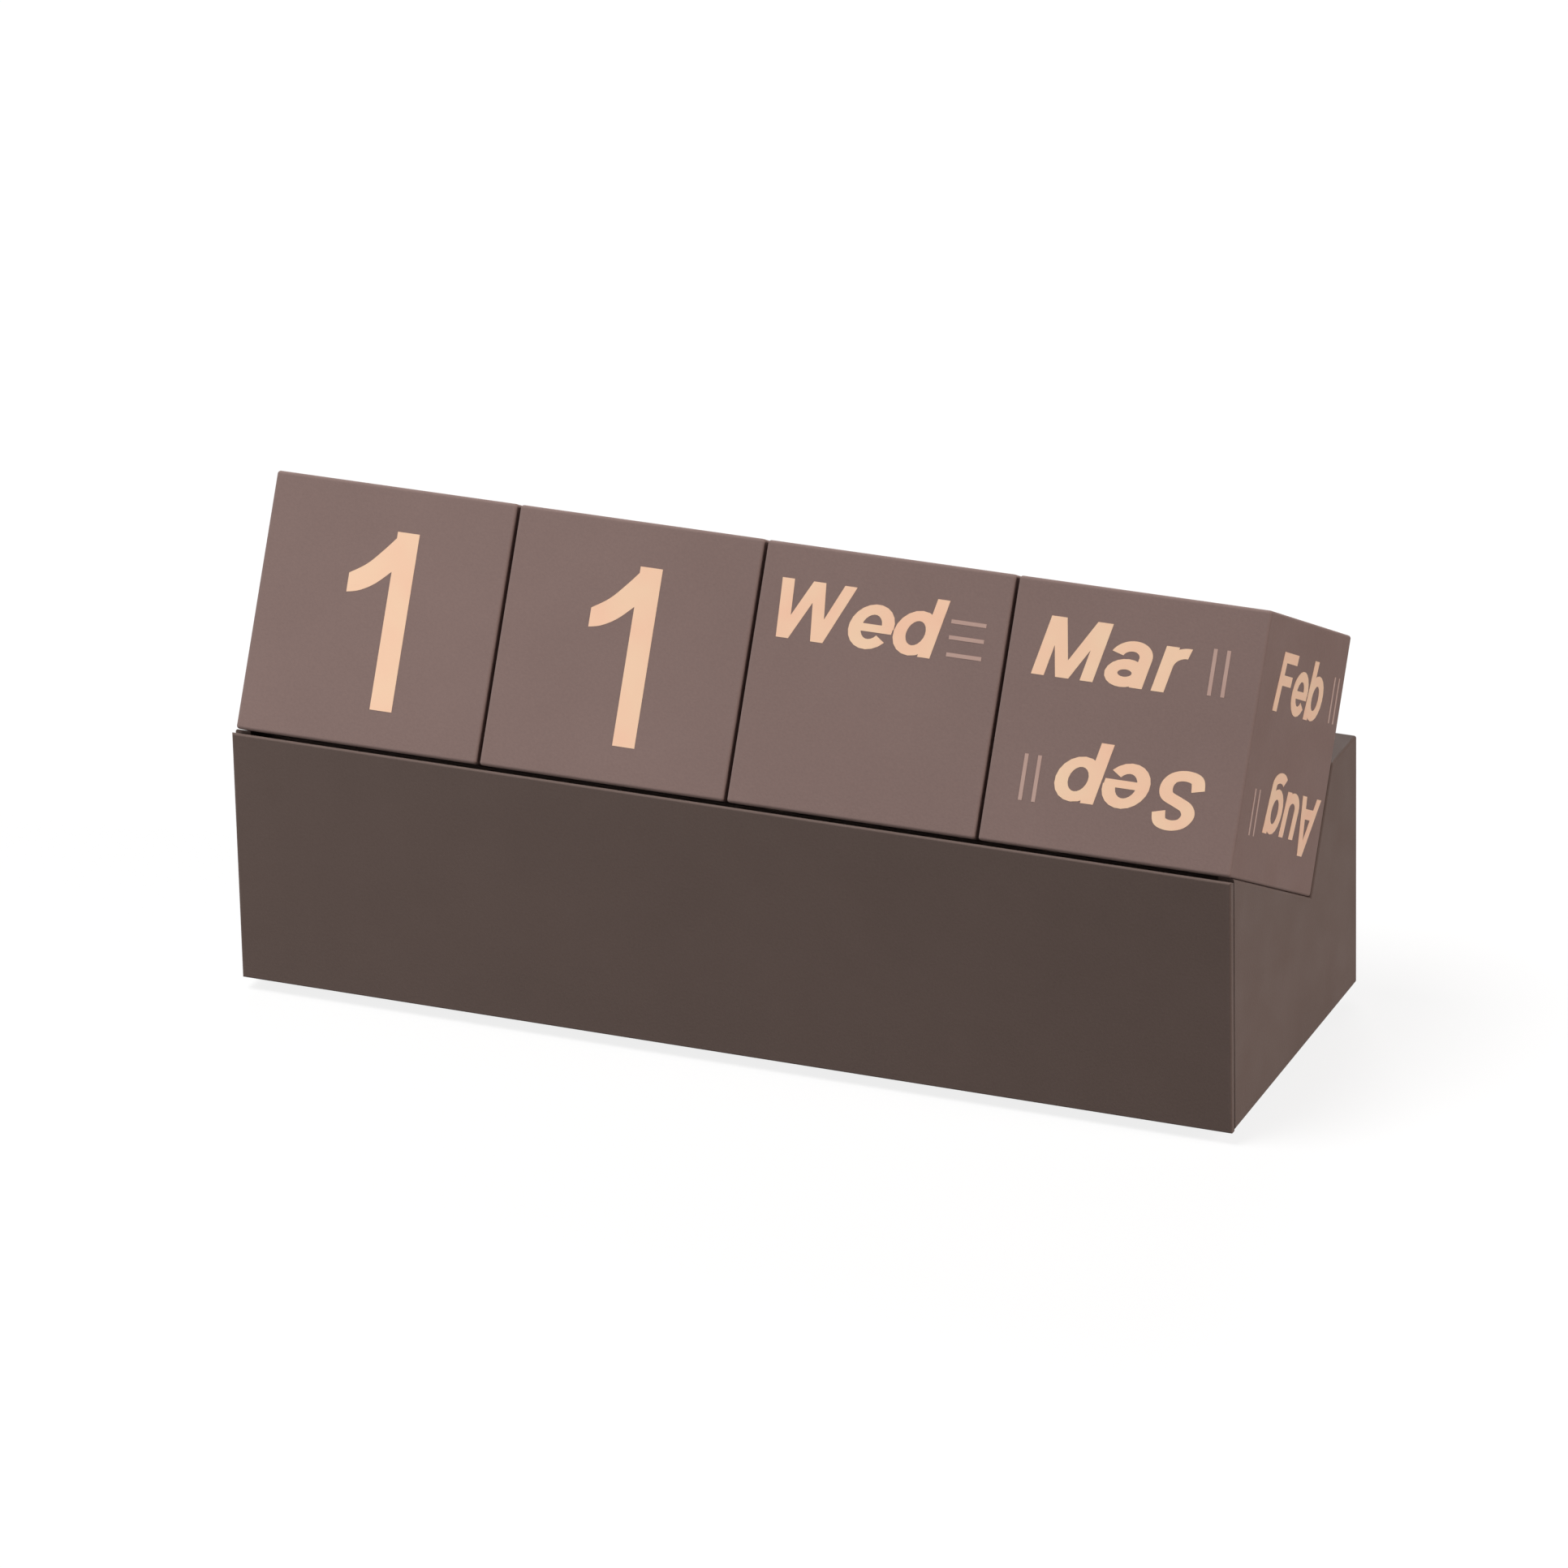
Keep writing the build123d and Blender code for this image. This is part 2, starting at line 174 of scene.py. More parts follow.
def letter_strokes():
    """Advance and strokes of each letter that the weekdays and months need."""
    p = WORD_PEN
    top = 1 - p.level / 2  # middle of a level stroke at the capitals' height
    low = p.level / 2
    lid = X_HEIGHT - p.level / 2  # and at the small letters' height
    mid = X_HEIGHT / 2
    bowl = lid - mid
    stem = 0.16
    return {
        "A": (0.97, [stroke(p, 0.11, 0, 0.475, 1), stroke(p, 0.86, 0, 0.495, 1), beam(p, 0.24, 0.73, 0.29)]),
        "D": (0.98, [stroke(p, stem, 0, stem, 1), beam(p, stem, 0.46, top), beam(p, stem, 0.46, low),
                     arc(p, 0.46, 0.5, 0.36, top - 0.5, -90, 90)]),
        "F": (0.84, [stroke(p, stem, 0, stem, 1), beam(p, stem, 0.79, top), beam(p, stem, 0.70, 0.53)]),
        "J": (0.77, [stroke(p, 0.58, 0.28, 0.58, 1), arc(p, 0.345, 0.29, 0.235, 0.29 - low, -180, 0),
                     stroke(p, 0.11, 0.28, 0.11, 0.36)]),
        "M": (1.20, [stroke(p, stem, 0, stem, 1), stroke(p, 0.98, 0, 0.98, 1),
                     stroke(p, 0.57, 0, 0.20, 1, width=0.22), stroke(p, 0.57, 0, 0.94, 1, width=0.22)]),
        "N": (1.00, [stroke(p, stem, 0, stem, 1), stroke(p, 0.83, 0, 0.83, 1),
                     stroke(p, 0.80, 0, 0.19, 1, width=0.235)]),
        "O": (1.07, [ring(p, 0.535, 0.5, 0.395, top - 0.49)]),
        "S": (0.92, [swash(p, (0.65, 0.71), (0.58, 0.87), (0.405, 0.92), (0.23, 0.87), (0.16, 0.73),
                           (0.235, 0.60), (0.41, 0.52), (0.61, 0.43), (0.665, 0.27), (0.59, 0.13),
                           (0.405, 0.08), (0.21, 0.13), (0.135, 0.31))]),
        "T": (0.84, [stroke(p, 0.42, 0, 0.42, 1), beam(p, 0.03, 0.81, top)]),
        "W": (1.41, [stroke(p, 0.368, 0, 0.12, 1), stroke(p, 0.368, 0, 0.671, 1),
                     stroke(p, 0.974, 0, 0.671, 1), stroke(p, 0.974, 0, 1.222, 1)]),
        "a": (0.81, [ring(p, 0.345, 0.225, 0.225, 0.150), stroke(p, 0.605, 0, 0.605, 0.50),
                     arc(p, 0.36, 0.49, 0.245, lid - 0.49, 0, 165)]),
        "b": (0.85, [stroke(p, stem, 0, stem, 1), ring(p, 0.435, mid, 0.27, bowl)]),
        "c": (0.77, [arc(p, 0.40, mid, 0.285, bowl, 38, 322)]),
        "d": (0.85, [stroke(p, 0.68, 0, 0.68, 1), ring(p, 0.405, mid, 0.27, bowl)]),
        "e": (0.76, [arc(p, 0.39, mid, 0.28, bowl, 0, 322), beam(p, 0.16, 0.765, 0.365, height=0.13)]),
        "g": (0.85, [stroke(p, 0.68, -0.06, 0.68, X_HEIGHT), ring(p, 0.405, mid, 0.27, bowl),
                     arc(p, 0.41, -0.05, 0.27, 0.135, -150, 0)]),
        "h": (0.84, [stroke(p, stem, 0, stem, 1), stroke(p, 0.67, 0, 0.67, 0.46),
                     arc(p, 0.415, 0.45, 0.255, lid - 0.45, 0, 180)]),
        "i": (0.40, [stroke(p, 0.20, 0, 0.20, X_HEIGHT), stroke(p, 0.20, 0.84, 0.20, 1)]),
        "l": (0.40, [stroke(p, 0.20, 0, 0.20, 1)]),
        "n": (0.84, [stroke(p, stem, 0, stem, X_HEIGHT), stroke(p, 0.67, 0, 0.67, 0.46),
                     arc(p, 0.415, 0.45, 0.255, lid - 0.45, 0, 180)]),
        "o": (0.84, [ring(p, 0.42, mid, 0.305, bowl)]),
        "p": (0.85, [stroke(p, stem, -0.26, stem, X_HEIGHT), ring(p, 0.435, mid, 0.27, bowl)]),
        "r": (0.54, [stroke(p, stem, 0, stem, X_HEIGHT), arc(p, 0.445, 0.43, 0.285, lid - 0.43, 84, 180)]),
        "t": (0.47, [stroke(p, 0.22, 0.24, 0.22, 0.94), beam(p, 0.03, 0.44, lid),
                     arc(p, 0.38, 0.24, 0.16, 0.24 - low, 180, 275)]),
        "u": (0.84, [stroke(p, 0.67, 0, 0.67, X_HEIGHT), stroke(p, stem, 0.28, stem, X_HEIGHT),
                     arc(p, 0.415, 0.29, 0.255, 0.29 - low, 180, 360)]),
        "v": (0.78, [stroke(p, 0.39, 0, 0.11, X_HEIGHT), stroke(p, 0.39, 0, 0.67, X_HEIGHT)]),
        "y": (0.78, [stroke(p, 0.39, 0.02, 0.11, X_HEIGHT), stroke(p, 0.32, -0.18, 0.67, X_HEIGHT),
                     beam(p, 0.07, 0.31, -0.19)]),
    }


def digit_strokes():
    """Strokes of each digit that the digit cubes need. The 6, turned over, serves as the 9."""
    p = DIGIT_PEN
    top = 1 - p.level / 2
    low = p.level / 2
    flag_under = [(0.044, 0.630), (0.120, 0.648), (0.210, 0.698), (0.312, 0.790)]
    flag_over = [(0.044, 0.737), (0.146, 0.803), (0.245, 0.905), (0.325, 1.0)]
    return {
        "0": [ring(p, 0.388, 0.5, 0.263, top - 0.5)],
        "1": [stroke(p, 0.361, 0, 0.361, 1), blade(flag_under, flag_over)],
        "2": [swash(p, (0.105, 0.70), (0.165, 0.86), (0.39, top), (0.60, 0.865), (0.645, 0.715),
                    (0.57, 0.55), (0.36, 0.37), (0.18, 0.20), (0.105, 0.06)),
              beam(p, 0.045, 0.705, low)],
        "3": [swash(p, (0.105, 0.73), (0.18, 0.88), (0.37, top), (0.555, 0.885), (0.61, 0.755),
                    (0.53, 0.62), (0.32, 0.553)),
              swash(p, (0.32, 0.553), (0.57, 0.475), (0.655, 0.29), (0.57, 0.12), (0.37, low),
                    (0.175, 0.12), (0.09, 0.28))],
        "4": [stroke(p, 0.53, 0, 0.53, 1), stroke(p, 0.105, 0.25, 0.52, 1, width=0.15),
              beam(p, 0.035, 0.735, 0.28)],
        "5": [beam(p, 0.17, 0.67, top), stroke(p, 0.15, 0.46, 0.21, 1),
              swash(p, (0.135, 0.50), (0.24, 0.585), (0.39, 0.61), (0.58, 0.53), (0.655, 0.335),
                    (0.575, 0.13), (0.37, low), (0.175, 0.115), (0.09, 0.26))],
        "6": [ring(p, 0.395, 0.318, 0.262, 0.318 - low),
              swash(p, (0.133, 0.33), (0.14, 0.62), (0.22, 0.85), (0.41, top), (0.565, 0.895),
                    (0.64, 0.77))],
        "7": [beam(p, 0.075, 0.705, top), swash(p, (0.63, 0.915), (0.46, 0.66), (0.34, 0.38), (0.285, 0.0))],
        "8": [ring(p, 0.388, 0.75, 0.207, top - 0.75), ring(p, 0.388, 0.295, 0.262, 0.295 - low)],
    }


# ================================================================ flat meshes of the glyphs
LEAST_AREA = 1e-9  # a triangle below this is dropped, on the glyphs' grid
WELD_DISTANCE = 1e-5  # corners closer than this become one
KEEP_INSIDE = 1  # the triangulation keeps what lies inside the outlines


def joined(quads):
    """One flat triangle mesh that covers the quads, which may overlap: (points, triangles)."""
    quads = np.concatenate(quads)
    halves = np.concatenate([quads[:, [0, 1, 2]], quads[:, [0, 2, 3]]])
    side, other = halves[:, 1] - halves[:, 0], halves[:, 2] - halves[:, 0]
    area = side[:, 0] * other[:, 1] - side[:, 1] * other[:, 0]
    halves = np.where((area < 0)[:, None, None], halves[:, ::-1], halves)[np.abs(area) > LEAST_AREA]
    corners = [Vector(point) for point in halves.reshape(-1, 2)]
    faces = np.arange(len(corners)).reshape(-1, 3).tolist()
    points, _, triangles, _, _, covered_by = delaunay_2d_cdt(corners, [], faces, KEEP_INSIDE, WELD_DISTANCE)
    # A triangle that no quad covers lies in the eye of a letter
    inked = [triangle for triangle, owners in zip(triangles, covered_by) if owners]
    return np.array([tuple(point) for point in points]), np.array(inked)


LETTERS = {name: (advance, *joined(strokes)) for name, (advance, strokes) in letter_strokes().items()}
DIGITS = {name: joined(strokes) for name, strokes in digit_strokes().items()}


def digit_face(digit, middle_x):
    """A large digit: the glyph's points times the digits' height, moved so that its middle is at middle_x."""
    points, triangles = DIGITS[digit]
    middle = (points[:, 0].min() + points[:, 0].max()) / 2 * DIGIT_HEIGHT
    return [(points * DIGIT_HEIGHT + (middle_x - middle, DIGIT_BASE), triangles)]


def word(text, left, stretch, base=WORD_BASE):
    """A slanted word in the upper part of a face: each glyph is set after the glyphs before it on the grid,
    x is stretched, y times the slant is added to x, and both are multiplied by the letters' height."""
    pieces = []
    pen_x = 0.0
    for name in text:
        advance, points, triangles = LETTERS[name]
        x = (stretch * (points[:, 0] + pen_x) + SLANT * points[:, 1]) * WORD_HEIGHT + left
        y = points[:, 1] * WORD_HEIGHT + base
        pieces.append((np.stack([x, y], axis=1), triangles))
        pen_x += advance
    return pieces


def rule(x, y, length_x, length_y):
    """A flat rectangle of two triangles whose lower left corner is at x, y."""
    corners = np.array([(x, y), (x + length_x, y), (x + length_x, y + length_y), (x, y + length_y)])
    return corners, np.array([(0, 1, 2), (0, 2, 3)])


def turned(pieces):
    """The same pieces turned by half a turn about the middle of the cube's face."""
    return [(SIDE - points, triangles) for points, triangles in pieces]


# ================================================================ what is printed on each face
def weekday_face(day):
    """A weekday in the upper part of the face."""
    return word(day, WEEKDAY_LEFT, WEEKDAY_STRETCH)


def month_face(upright, inverted, left=MONTH_LEFT, turned_left=TURNED_MONTH_LEFT):
    """One month in the upper part of the face, and one upside down in the lower part."""
    lower = word(inverted, turned_left, MONTH_STRETCH, TURNED_WORD_BASE)
    return word(upright, left, MONTH_STRETCH) + turned(lower)


def weekday_rules():
    """Three short level rules, one above the other, after a weekday."""
    return [rule(RULE_LEFT, y, RULE_LENGTH, RULE_WIDTH) for y in RULE_ROWS]


def upright_rules(columns):
    """Short upright rules, side by side, after a month."""
    return [rule(x, UPRIGHT_RULE_FOOT, RULE_WIDTH, UPRIGHT_RULE_HEIGHT) for x in columns]


def month_rules(columns=UPRIGHT_RULE_COLUMNS):
    """Two upright rules after each of a face's two months; columns places the upright month's."""
    return upright_rules(columns) + turned(upright_rules(UPRIGHT_RULE_COLUMNS))


FACES = ("front", "right", "back", "left", "top", "bottom")
PRINTS = {
    "left_digit_cube": [digit_face(digit, LEFT_DIGIT_MIDDLE) for digit in "102345"],
    "right_digit_cube": [digit_face(digit, RIGHT_DIGIT_MIDDLE) for digit in "106278"],
    "weekday_cube": [
        weekday_face("Wed"),
        weekday_face("Thu"),
        weekday_face("Fri"),
        weekday_face("Mon"),
        weekday_face("Tue"),
        weekday_face("Sat") + turned(weekday_face("Sun")),
    ],
    "month_cube": [
        month_face("Mar", "Sep"),
        month_face("Feb", "Aug", SIDE_MONTH_LEFT, SIDE_TURNED_MONTH_LEFT),
        month_face("Jan", "Jul"),
        month_face("Jun", "Dec"),
        month_face("May", "Nov"),
        month_face("Apr", "Oct"),
    ],
}
FINE_PRINTS = {
    "weekday_cube": [weekday_rules()] * 5 + [weekday_rules() + turned(weekday_rules())],
    "month_cube": [month_rules(), month_rules(SIDE_RULE_COLUMNS)] + [month_rules()] * 4,
}


def face_frame(face):
    """Rightward, upward and outward directions of one face, seen from outside. They are made from the
    leaning cube's own right, up and back directions."""
    right = np.array([1.0, 0.0, 0.0])
    up = np.array([0.0, sin(LEAN), cos(LEAN)])
    back = np.array([0.0, cos(LEAN), -sin(LEAN)])
    return {
        "front": (right, up, -back),
        "right": (back, up, right),
        "back": (-right, up, back),
        "left": (-back, up, -right),
        "top": (right, back, up),
        "bottom": (right, -back, -up),
    }[face]


def cube_centre(cube):
    """Middle of a cube: the middle of its leaning box."""
    low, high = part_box(f"{cube}_shell")
    return np.array((low + high) / 2)


def print_mesh(name, cube, prints):
    """Thin closed plates on a cube's faces. A flat point (x, y) of a face goes to the face's lower left
    corner plus x times its rightward and y times its upward direction, once raised by PRINT_RISE and once
    sunk by PRINT_SINK; walls join the two along the edges that only one triangle has."""
    centre = cube_centre(cube)
    vertices, faces, count = [], [], 0
    for face, pieces in zip(FACES, prints):
        rightward, upward, outward = face_frame(face)
        corner = centre + (outward - rightward - upward) * SIDE / 2
        for points, triangles in pieces:
            flat = corner + points[:, :1] * rightward + points[:, 1:] * upward
            raised = count + triangles
            sunk = raised + len(points)
            edges = np.concatenate([triangles[:, [0, 1]], triangles[:, [1, 2]], triangles[:, [2, 0]]])
            _, first, uses = np.unique(np.sort(edges, axis=1), axis=0, return_index=True, return_counts=True)
            rim = edges[first[uses == 1]] + count
            low_rim = rim + len(points)
            vertices += [flat + PRINT_RISE * outward, flat - PRINT_SINK * outward]
            faces += raised.tolist()
            faces += sunk[:, ::-1].tolist()
            faces += np.stack([low_rim[:, 0], low_rim[:, 1], rim[:, 1], rim[:, 0]], axis=1).tolist()
            count += 2 * len(points)
    mesh = bpy.data.meshes.new(name)
    mesh.from_pydata(np.concatenate(vertices).tolist(), [], faces)
    mesh.validate()
    return mesh


# ================================================================ node helpers
def add_node(tree, kind, **settings):
    """A node of that kind with its properties set."""
    node = tree.nodes.new(kind)
    for name, value in settings.items():
        setattr(node, name, value)
    return node


def feed(tree, socket, value):
    """Links an output socket to the input socket, or sets it to a plain value."""
    if isinstance(value, bpy.types.NodeSocket):
        tree.links.new(value, socket)
    else:
        socket.default_value = value


def maths(tree, operation, *values):
    """A Math node; each value is a number or an output socket."""
    node = add_node(tree, "ShaderNodeMath", operation=operation)
    for socket, value in zip(node.inputs, values):
        feed(tree, socket, value)
    return node.outputs[0]


def swing(tree, value, reach):
    """A value from 0 to 1 as a shift that swings from minus half the reach to plus half."""
    return maths(tree, "MULTIPLY", maths(tree, "SUBTRACT", value, 0.5), reach)


def noise(tree, vector, scale, detail=2.0):
    """Noise from 0 to 1 with that many bumps to the metre."""
    node = add_node(tree, "ShaderNodeTexNoise")
    feed(tree, node.inputs["Vector"], vector)
    feed(tree, node.inputs["Scale"], scale)
    feed(tree, node.inputs["Detail"], detail)
    return node.outputs["Fac"]


def blend(tree, share, first, second):
    """Colour between first and second by share."""
    node = add_node(tree, "ShaderNodeMix", data_type="RGBA")
    for name, value in (("Factor", share), ("A", first), ("B", second)):
        feed(tree, next(socket for socket in node.inputs if socket.name == name and socket.enabled), value)
    return next(socket for socket in node.outputs if socket.enabled)


def new_group(name, inputs, outputs):
    """An empty shader node group with float, colour and vector sockets."""
    group = bpy.data.node_groups.new(name, "ShaderNodeTree")
    kinds = {"float": "NodeSocketFloat", "colour": "NodeSocketColor", "vector": "NodeSocketVector"}
    for label, kind in inputs:
        group.interface.new_socket(name=label, in_out="INPUT", socket_type=kinds[kind])
    for label, kind in outputs:
        group.interface.new_socket(name=label, in_out="OUTPUT", socket_type=kinds[kind])
    return group, group.nodes.new("NodeGroupInput").outputs, group.nodes.new("NodeGroupOutput").inputs


def srgb(red, green, blue):
    """A colour picked on a screen, 0 to 255, as linear light."""
    screen = np.array([red, green, blue]) / 255
    linear = np.where(screen <= 0.04045, screen / 12.92, ((screen + 0.055) / 1.055) ** 2.4)
    return (*linear.tolist(), 1.0)


# ================================================================ shared effects
GRAIN_CONTRAST = 0.16  # the grain's share of the colour's brightness
SMEAR_CONTRAST = 0.22  # how much handling marks change the roughness


def make_moulded_skin():
    """The skin of a moulded plastic: a fine even grain, soft cloudy patches and faint handling marks."""
    group, given, out = new_group(
        "moulded_skin",
        [("Vector", "vector"), ("Colour", "colour"), ("Grain per metre", "float"), ("Cloud", "float"),
         ("Roughness", "float")],
        [("Colour", "colour"), ("Roughness", "float"), ("Height", "float")],
    )
    grain = noise(group, given["Vector"], scale=given["Grain per metre"], detail=3.0)
    cloud = noise(group, given["Vector"], scale=38.0, detail=3.0)
    smear = noise(group, given["Vector"], scale=140.0, detail=4.0)
    # Patches and grain shift the colour's brightness a little around its own value
    lift = swing(group, cloud, given["Cloud"])
    speck = swing(group, grain, GRAIN_CONTRAST)
    brightness = maths(group, "ADD", maths(group, "ADD", lift, speck), 1.0)
    shade = add_node(group, "ShaderNodeVectorMath", operation="SCALE")
    group.links.new(given["Colour"], shade.inputs[0])
    group.links.new(brightness, shade.inputs["Scale"])
    group.links.new(shade.outputs[0], out["Colour"])
    shine = swing(group, smear, SMEAR_CONTRAST)
    group.links.new(maths(group, "ADD", given["Roughness"], shine), out["Roughness"])
    group.links.new(grain, out["Height"])
    return group


def make_worn_and_highlit_edges():
    """Paler edges of a block, partly wear from handling and partly a painted highlight where light catches
    the
    rounded edges: strong at an edge, gone at Width from it, and broken up by noise. On a block's surface
    the middle one of the three distances to its sides is the distance to the nearest edge."""
    group, given, out = new_group(
        "worn_and_highlit_edges",
        [("Vector", "vector"), ("Half size", "vector"), ("Width", "float")],
        [("Mask", "float")],
    )
    size = add_node(group, "ShaderNodeVectorMath", operation="ABSOLUTE")
    group.links.new(given["Vector"], size.inputs[0])
    room = add_node(group, "ShaderNodeVectorMath", operation="SUBTRACT")
    group.links.new(given["Half size"], room.inputs[0])
    group.links.new(size.outputs[0], room.inputs[1])
    split = add_node(group, "ShaderNodeSeparateXYZ")
    group.links.new(room.outputs[0], split.inputs[0])
    x, y, z = split.outputs
    smaller = maths(group, "MINIMUM", x, y)
    larger = maths(group, "MAXIMUM", x, y)
    middle = maths(group, "MAXIMUM", smaller, maths(group, "MINIMUM", larger, z))
    near = add_node(group, "ShaderNodeMapRange", interpolation_type="SMOOTHSTEP")
    group.links.new(maths(group, "DIVIDE", middle, given["Width"]), near.inputs["Value"])
    near.inputs["To Min"].default_value = 1.0
    near.inputs["To Max"].default_value = 0.0
    patches = noise(group, given["Vector"], scale=260.0, detail=4.0)
    group.links.new(maths(group, "MULTIPLY", near.outputs["Result"], patches), out["Mask"])
    return group


MOULDED_SKIN = make_moulded_skin()
WORN_AND_HIGHLIT_EDGES = make_worn_and_highlit_edges()


# ================================================================ materials
CUBE_COLOUR = srgb(130, 109, 104)
CASE_COLOUR = srgb(106, 90, 84)
TRAY_COLOUR = srgb(88, 75, 71)
# the pale edge colour is partly wear and partly a painted highlight on the rounded edges
WORN_AND_HIGHLIT_EDGE_COLOUR = srgb(150, 133, 127)
PRINT_COLOUR = srgb(247, 211, 178)
PRINT_BLUSH = srgb(247, 200, 170)
FINE_PRINT_COLOUR = srgb(184, 154, 143)
FINE_PRINT_BLUSH = srgb(179, 147, 136)
RUBBER_COLOUR = (0.018, 0.018, 0.018, 1.0)
DUST_COLOUR = (0.055, 0.052, 0.050, 1.0)
STEEL_DARK = (0.50, 0.50, 0.51, 1.0)
STEEL_LIGHT = (0.68, 0.68, 0.70, 1.0)

CUBE_WEAR_AND_HIGHLIGHT = 0.2  # how far a pale edge, partly wear and partly painted highlight, goes towards the edge colour
CASE_WEAR_AND_HIGHLIGHT = 0.1
# how far from an edge the wear and painted highlight reach
WEAR_AND_HIGHLIGHT_WIDTH = 0.8 * MM


def new_material(name):
    """A material with its tree, its Principled shader and the object's coordinates."""
    material = bpy.data.materials.new(name)
    material.use_nodes = True
    tree = material.node_tree
    coordinates = add_node(tree, "ShaderNodeTexCoord").outputs["Object"]
    return material, tree, tree.nodes["Principled BSDF"], coordinates


def place_group(tree, group, **values):
    """A node group in a material, with its values or links set by name."""
    node = add_node(tree, "ShaderNodeGroup", node_tree=group)
    for name, value in values.items():
        feed(tree, node.inputs[name.replace("_", " ")], value)
    return node.outputs


def bump(tree, shader, height, distance, strength):
    """Lets a height from 0 to 1 raise the surface by distance."""
    node = add_node(tree, "ShaderNodeBump")
    feed(tree, node.inputs["Height"], height)
    feed(tree, node.inputs["Distance"], distance)
    feed(tree, node.inputs["Strength"], strength)
    tree.links.new(node.outputs["Normal"], shader.inputs["Normal"])


def uneven_roughness(tree, shader, pattern, least, reach):
    """Roughness that a pattern from 0 to 1 takes from least up to least plus reach."""
    roughness = maths(tree, "ADD", maths(tree, "MULTIPLY", pattern, reach), least)
    tree.links.new(roughness, shader.inputs["Roughness"])


def block_plastic(name, colour, centre, half_size, wear_and_highlight, turn=0.0):
    """Moulded plastic of a block with paler edges, partly wear and partly a painted highlight. The edges'
    pattern is centred on the block and turned with it."""
    material, tree, shader, coordinates = new_material(name)
    shift = add_node(tree, "ShaderNodeMapping", vector_type="POINT")
    shift.inputs["Location"].default_value = [-value for value in centre]
    tree.links.new(coordinates, shift.inputs["Vector"])
    spin = add_node(tree, "ShaderNodeMapping", vector_type="POINT")
    spin.inputs["Rotation"].default_value = (turn, 0.0, 0.0)
    tree.links.new(shift.outputs["Vector"], spin.inputs["Vector"])
    skin = place_group(tree, MOULDED_SKIN, Vector=coordinates, Colour=colour, Grain_per_metre=2600.0,
                       Cloud=0.16, Roughness=0.68)
    worn_and_highlit = place_group(tree, WORN_AND_HIGHLIT_EDGES, Vector=spin.outputs["Vector"], Half_size=half_size,
                         Width=WEAR_AND_HIGHLIGHT_WIDTH)
    # paler edges, partly wear and partly a painted highlight on the rounded edges
    share = maths(tree, "MULTIPLY", worn_and_highlit["Mask"], wear_and_highlight)
    tree.links.new(blend(tree, share, skin["Colour"], WORN_AND_HIGHLIT_EDGE_COLOUR), shader.inputs["Base Color"])
    tree.links.new(skin["Roughness"], shader.inputs["Roughness"])
    shader.inputs["Specular IOR Level"].default_value = 0.2
    bump(tree, shader, skin["Height"], distance=0.05 * MM, strength=0.5)
    return material


def tray_plastic():
    """Plain moulded plastic of the drawer tray."""
    material, tree, shader, coordinates = new_material("tray_plastic")
    skin = place_group(tree, MOULDED_SKIN, Vector=coordinates, Colour=TRAY_COLOUR, Grain_per_metre=1800.0,
                       Cloud=0.2, Roughness=0.55)
    tree.links.new(skin["Colour"], shader.inputs["Base Color"])
    tree.links.new(skin["Roughness"], shader.inputs["Roughness"])
    bump(tree, shader, skin["Height"], distance=0.05 * MM, strength=0.4)
    return material


def print_ink(name, colour, blush):
    """Pale gold print: a satin ink, a little uneven, warmer in patches."""
    material, tree, shader, coordinates = new_material(name)
    grain = noise(tree, coordinates, scale=3500.0)
    patches = add_node(tree, "ShaderNodeMapRange")
    tree.links.new(noise(tree, coordinates, scale=110.0), patches.inputs["Value"])
    patches.inputs["From Min"].default_value = 0.3
    patches.inputs["From Max"].default_value = 0.7
    tree.links.new(blend(tree, patches.outputs["Result"], colour, blush), shader.inputs["Base Color"])
    uneven_roughness(tree, shader, grain, least=0.38, reach=0.25)
    bump(tree, shader, grain, distance=0.02 * MM, strength=0.4)
    return material


def foot_rubber():
    """Dark rubber with a dull, dusty surface."""
    material, tree, shader, coordinates = new_material("foot_rubber")
    dust = noise(tree, coordinates, scale=420.0, detail=4.0)
    tree.links.new(blend(tree, dust, RUBBER_COLOUR, DUST_COLOUR), shader.inputs["Base Color"])
    uneven_roughness(tree, shader, dust, least=0.7, reach=0.2)
    bump(tree, shader, noise(tree, coordinates, scale=1500.0), distance=0.05 * MM, strength=0.5)
    return material


def screw_steel():
    """Zinc-plated steel with fine turned marks."""
    material, tree, shader, coordinates = new_material("screw_steel")
    marks = noise(tree, coordinates, scale=5200.0, detail=3.0)
    tree.links.new(blend(tree, marks, STEEL_DARK, STEEL_LIGHT), shader.inputs["Base Color"])
    uneven_roughness(tree, shader, marks, least=0.28, reach=0.2)
    shader.inputs["Metallic"].default_value = 1.0
    bump(tree, shader, marks, distance=0.01 * MM, strength=0.4)
    return material


# ================================================================ dress the pieces
def add_object(name, data):
    """A new object in the scene."""
    thing = bpy.data.objects.new(name, data)
    bpy.context.scene.collection.objects.link(thing)
    return thing


def set_material(node, material):
    """Gives a CAD node one material."""
    data = NODES[node].data
    data.materials.clear()
    data.materials.append(material)


def add_print(name, cube, prints, ink):
    """A piece that holds one kind of print of a cube and rides with it."""
    marks = add_object(name, print_mesh(name, cube, prints))
    marks.data.materials.append(ink)
    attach(marks, cube)


def dress_cubes():
    """Each cube's plastic follows the cube's own edges."""
    ink = print_ink("print_ink", PRINT_COLOUR, PRINT_BLUSH)
    fine_ink = print_ink("fine_print_ink", FINE_PRINT_COLOUR, FINE_PRINT_BLUSH)
    half = (SIDE / 2,) * 3
    for cube in CUBES:
        plastic = block_plastic(f"{cube}_plastic", CUBE_COLOUR, cube_centre(cube), half, CUBE_WEAR_AND_HIGHLIGHT, turn=LEAN)
        set_material(f"{cube}_shell", plastic)
        set_material(f"{cube}_cap", plastic)
        add_print(f"{cube}_print", cube, PRINTS[cube], ink)
        if cube in FINE_PRINTS:
            add_print(f"{cube}_fine_print", cube, FINE_PRINTS[cube], fine_ink)


